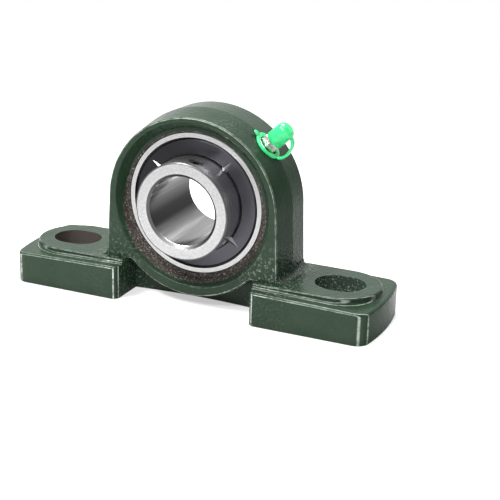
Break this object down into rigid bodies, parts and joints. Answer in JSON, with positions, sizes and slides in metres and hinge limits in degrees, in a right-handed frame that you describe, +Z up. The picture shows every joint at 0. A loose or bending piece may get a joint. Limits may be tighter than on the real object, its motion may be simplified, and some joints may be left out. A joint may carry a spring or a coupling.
{
  "type": "pillow block bearing",
  "caption": "Pillow block bearing: cast two-bolt housing with a self-aligning insert ball bearing, set screws and a capped grease nipple.",
  "frame": {"origin": "on the base plane, midway between the two slots, under the middle plane of the bearing", "axes": "+X along the base, +Y along the shaft from the set-screw side to the back, +Z up"},
  "size_m": [0.161, 0.0442, 0.0808],
  "materials": {
    "cast_green_paint": "thick enamel over rough grey iron casting",
    "ground_ring_steel": "ground bearing steel, satin end faces, bright bore",
    "ball_steel": "polished",
    "pressed_steel": "cold rolled sheet",
    "seal_rubber": "matte black nitrile",
    "dark_flinger": "dark coated pressed sheet",
    "black_screw": "black oxide",
    "plated_nipple": "bright zinc plate",
    "green_cap_plastic": "soft translucent plastic"
  },
  "bodies": {
    "housing": {"housing": "cast_green_paint", "nipple_body": "plated_nipple", "nipple_spring": "plated_nipple", "cap_ring": "green_cap_plastic", "cap_strap": "green_cap_plastic"},
    "insert": {"outer_ring": "ground_ring_steel", "seal_plate_front": "pressed_steel", "seal_plate_rear": "pressed_steel", "seal_lip_front": "seal_rubber", "seal_lip_rear": "seal_rubber"},
    "inner": {"inner_ring": "ground_ring_steel", "flinger_front": "dark_flinger", "flinger_rear": "dark_flinger"},
    "cage": {"cage_front": "pressed_steel", "cage_rear": "pressed_steel", "cage_rivets": "pressed_steel"},
    "ball_1": {"ball_1": "ball_steel"},
    "ball_2": {"ball_2": "ball_steel"},
    "ball_3": {"ball_3": "ball_steel"},
    "ball_4": {"ball_4": "ball_steel"},
    "ball_5": {"ball_5": "ball_steel"},
    "ball_6": {"ball_6": "ball_steel"},
    "ball_7": {"ball_7": "ball_steel"},
    "ball_8": {"ball_8": "ball_steel"},
    "ball_9": {"ball_9": "ball_steel"},
    "screw_1": {"set_screw_1": "black_screw"},
    "screw_2": {"set_screw_2": "black_screw"},
    "cap": {"nipple_cap": "green_cap_plastic"},
    "check_ball": {"nipple_check_ball": "ball_steel"}
  },
  "joints": [
    {"name": "self_alignment", "type": "hinge", "parent": "housing", "child": "insert", "pos_m": [0, 0, 0.0429], "axis": [1, 0, 0], "range_deg": [-2, 2]},
    {"name": "shaft_spin", "type": "hinge", "parent": "insert", "child": "inner", "pos_m": [0, 0, 0.0429], "axis": [0, 1, 0], "continuous": true},
    {"name": "cage_spin", "type": "hinge", "parent": "insert", "child": "cage", "pos_m": [0, 0, 0.0429], "axis": [0, 1, 0], "continuous": true},
    {"name": "ball_1_roll", "type": "hinge", "parent": "cage", "child": "ball_1", "pos_m": [0, 0, 0.0659], "axis": [0, 1, 0], "continuous": true},
    {"name": "ball_2_roll", "type": "hinge", "parent": "cage", "child": "ball_2", "pos_m": [0.01478, 0, 0.06052], "axis": [0, 1, 0], "continuous": true},
    {"name": "ball_3_roll", "type": "hinge", "parent": "cage", "child": "ball_3", "pos_m": [0.02265, 0, 0.04689], "axis": [0, 1, 0], "continuous": true},
    {"name": "ball_4_roll", "type": "hinge", "parent": "cage", "child": "ball_4", "pos_m": [0.01992, 0, 0.0314], "axis": [0, 1, 0], "continuous": true},
    {"name": "ball_5_roll", "type": "hinge", "parent": "cage", "child": "ball_5", "pos_m": [0.00787, 0, 0.02129], "axis": [0, 1, 0], "continuous": true},
    {"name": "ball_6_roll", "type": "hinge", "parent": "cage", "child": "ball_6", "pos_m": [-0.00787, 0, 0.02129], "axis": [0, 1, 0], "continuous": true},
    {"name": "ball_7_roll", "type": "hinge", "parent": "cage", "child": "ball_7", "pos_m": [-0.01992, 0, 0.0314], "axis": [0, 1, 0], "continuous": true},
    {"name": "ball_8_roll", "type": "hinge", "parent": "cage", "child": "ball_8", "pos_m": [-0.02265, 0, 0.04689], "axis": [0, 1, 0], "continuous": true},
    {"name": "ball_9_roll", "type": "hinge", "parent": "cage", "child": "ball_9", "pos_m": [-0.01478, 0, 0.06052], "axis": [0, 1, 0], "continuous": true},
    {"name": "set_screw_1_travel", "type": "slide", "parent": "inner", "child": "screw_1", "axis": [0.1908, 0, 0.9816], "range_m": [-0.0006, 0.003]},
    {"name": "set_screw_2_travel", "type": "slide", "parent": "inner", "child": "screw_2", "axis": [0.7547, 0, -0.6561], "range_m": [-0.0006, 0.003]},
    {"name": "cap_pull", "type": "slide", "parent": "housing", "child": "cap", "axis": [0.729, 0, 0.6845], "range_m": [0, 0.01], "deforming": ["cap_strap"]},
    {"name": "check_ball_lift", "type": "slide", "parent": "housing", "child": "check_ball", "axis": [0.729, 0, 0.6845], "range_m": [-0.0006, 0], "stiffness_N_per_m": 50, "springref_m": 0.001, "deforming": ["nipple_spring"]}
  ],
  "couplings": [
    {"joint": "cage_spin", "follows": "shaft_spin", "ratio": 0.39647},
    {"joint": "ball_1_roll", "follows": "shaft_spin", "ratio": -2.3112},
    {"joint": "ball_2_roll", "follows": "shaft_spin", "ratio": -2.3112},
    {"joint": "ball_3_roll", "follows": "shaft_spin", "ratio": -2.3112},
    {"joint": "ball_4_roll", "follows": "shaft_spin", "ratio": -2.3112},
    {"joint": "ball_5_roll", "follows": "shaft_spin", "ratio": -2.3112},
    {"joint": "ball_6_roll", "follows": "shaft_spin", "ratio": -2.3112},
    {"joint": "ball_7_roll", "follows": "shaft_spin", "ratio": -2.3112},
    {"joint": "ball_8_roll", "follows": "shaft_spin", "ratio": -2.3112},
    {"joint": "ball_9_roll", "follows": "shaft_spin", "ratio": -2.3112}
  ]
}
